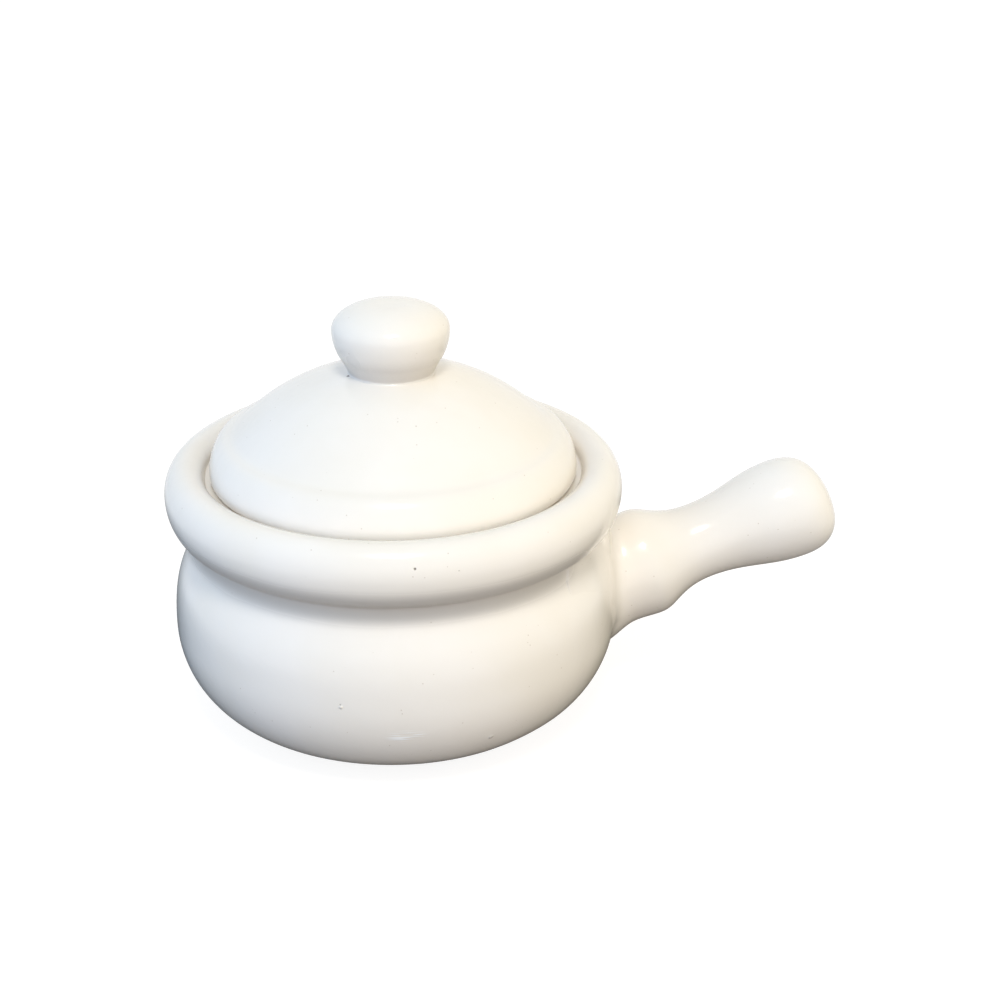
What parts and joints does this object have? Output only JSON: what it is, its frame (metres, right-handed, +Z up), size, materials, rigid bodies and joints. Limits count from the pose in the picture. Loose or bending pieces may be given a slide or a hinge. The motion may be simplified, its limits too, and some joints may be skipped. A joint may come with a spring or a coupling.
{
  "type": "soup_crock",
  "caption": "French onion soup crock in cream-glazed stoneware: round-bellied bowl with a thick rolled rim, stick handle and a domed lid with a ball knob",
  "frame": {"origin": "centre of the flat foot, on the table", "axes": "+Z up along the axis of the bowl and lid, +X out towards the handle, +Y to the left of someone looking along the handle from the bowl"},
  "size_m": [0.194, 0.127, 0.1183],
  "materials": {
    "glaze": "gloss"
  },
  "bodies": {
    "crock": {"bowl": "glaze", "handle": "glaze"},
    "cover": {"lid": "glaze", "knob": "glaze"}
  },
  "joints": [
    {"name": "lid_lift", "type": "slide", "parent": "crock", "child": "cover", "axis": [0, 0, 1], "range_m": [0, 0.1]}
  ]
}
